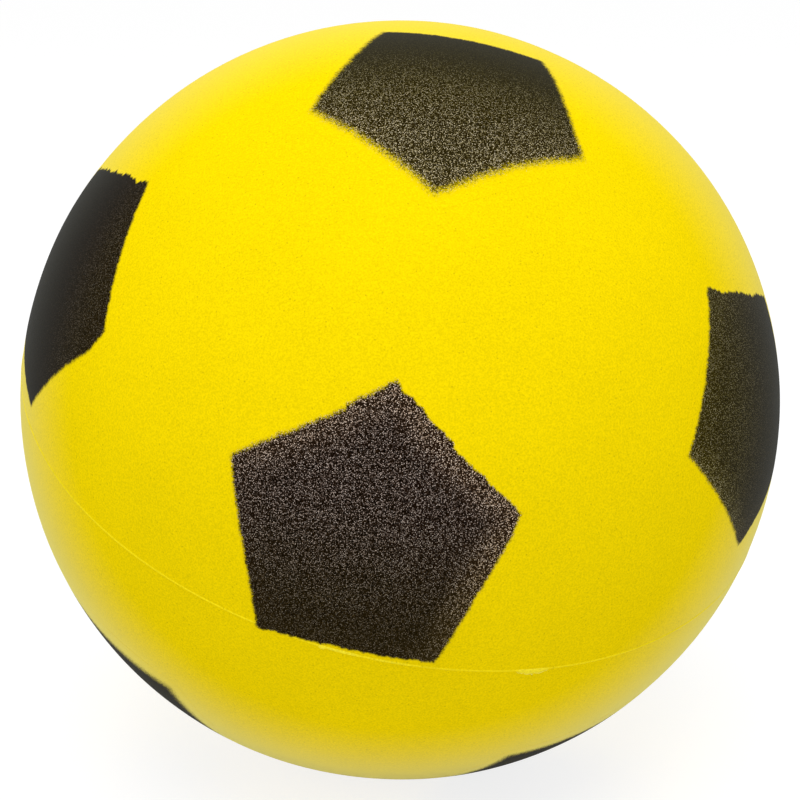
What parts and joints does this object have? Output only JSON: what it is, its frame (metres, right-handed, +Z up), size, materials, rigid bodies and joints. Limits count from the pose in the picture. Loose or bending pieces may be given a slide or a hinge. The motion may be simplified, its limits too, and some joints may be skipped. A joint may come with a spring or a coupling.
{
  "type": "foam ball",
  "caption": "Soft moulded foam play ball with a dense skin, a parting line and sprayed pentagons in a football layout, for throwing and kicking indoors.",
  "frame": {"origin": "centre of the ball", "axes": "+Z up as the ball rests, square to its small resting flat; -Y out through the middle of the front pentagon; +X to the right of someone facing that pentagon"},
  "size_m": [0.1998, 0.201, 0.1991],
  "materials": {
    "foam": "open-cell polyurethane foam, even yellow right through",
    "foam_skin": "matte moulded foam skin with a very fine grain and small pits",
    "foam_flash": "thin torn foam web along the mould's parting line, a little paler than the skin",
    "sprayed_ink": "dry sprayed black ink, speckled with the foam's colour and feathered at the mask's edge"
  },
  "bodies": {
    "root": {"foam_core": "foam", "skin_upper": "foam_skin", "skin_lower": "foam_skin", "parting_flash": "foam_flash", "pentagon_front": "sprayed_ink", "pentagon_top": "sprayed_ink", "pentagon_left": "sprayed_ink", "pentagon_low_left": "sprayed_ink", "pentagon_low_right": "sprayed_ink", "pentagon_right": "sprayed_ink", "pentagon_rear_top": "sprayed_ink", "pentagon_rear_left": "sprayed_ink", "pentagon_rear_low": "sprayed_ink", "pentagon_rear_low_right": "sprayed_ink", "pentagon_rear_right": "sprayed_ink", "pentagon_back": "sprayed_ink"}
  },
  "joints": []
}
